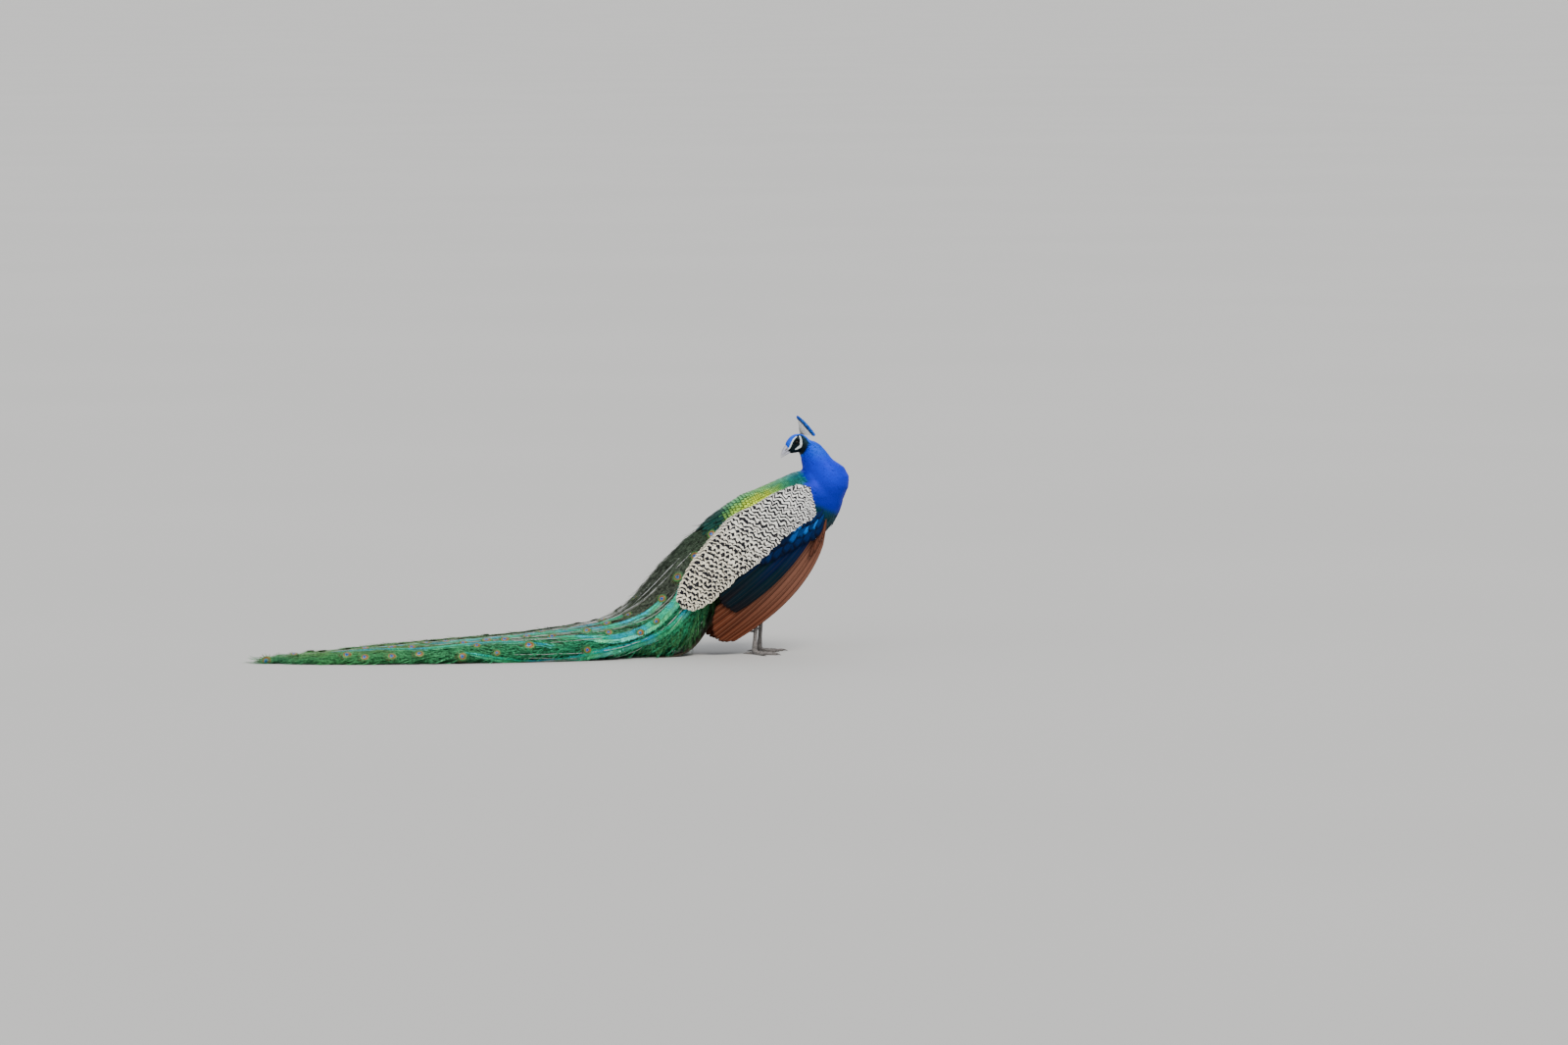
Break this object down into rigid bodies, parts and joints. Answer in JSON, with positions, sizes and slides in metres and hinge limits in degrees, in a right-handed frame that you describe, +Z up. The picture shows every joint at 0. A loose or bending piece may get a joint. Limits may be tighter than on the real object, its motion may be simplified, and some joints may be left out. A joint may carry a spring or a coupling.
{
  "type": "peacock figure",
  "caption": "Life-size standing peacock, head turned back over its shoulder, wings loosely folded, long train sloping down behind to lie along the floor.",
  "frame": {"origin": "bottom centre of the whole bird's box, on the floor it stands on", "axes": "+X the way the body faces, with the train behind along -X; +Y to the bird's left; +Z up"},
  "size_m": [1.6512, 0.3, 0.6494],
  "materials": {
    "neck_feathers": "glossy cobalt-blue scale feathers, brighter and more azure on the crown and nape",
    "back_feathers": "metallic green to gold scale feathers with dark edges",
    "crest_feathers": "bare pale quills with small blue paddles",
    "bill_horn": "grey horn, slightly polished",
    "eye": "wet dark brown eye",
    "barred_feathers": "cream feathers with wavy black bars",
    "blue_black_feathers": "blue-black wing feathers with a blue and green gloss",
    "rufous_feathers": "chestnut flight feathers with paler shafts",
    "thigh_feathers": "dark brown downy feathers",
    "leg_scales": "grey-brown scaly skin",
    "train_feathers": "long bronze-green loose-webbed feathers with eyes",
    "tail_feathers": "stiff dark brown tail feathers"
  },
  "bodies": {
    "root": {"head": "neck_feathers", "neck_upper": "neck_feathers", "neck_lower": "neck_feathers", "breast": "neck_feathers", "trunk": "back_feathers", "crest": "crest_feathers", "bill_upper": "bill_horn", "bill_lower": "bill_horn", "eye_left": "eye", "eye_right": "eye", "wing_left_shield": "barred_feathers", "wing_right_shield": "barred_feathers", "wing_left_secondaries": "blue_black_feathers", "wing_right_secondaries": "blue_black_feathers", "wing_left_primaries": "rufous_feathers", "wing_right_primaries": "rufous_feathers", "thigh_left": "thigh_feathers", "thigh_right": "thigh_feathers", "shank_left": "leg_scales", "shank_right": "leg_scales", "foot_left": "leg_scales", "foot_right": "leg_scales", "train_base": "train_feathers", "train_middle": "train_feathers", "train_end": "train_feathers", "tail_fan": "tail_feathers"}
  },
  "joints": []
}
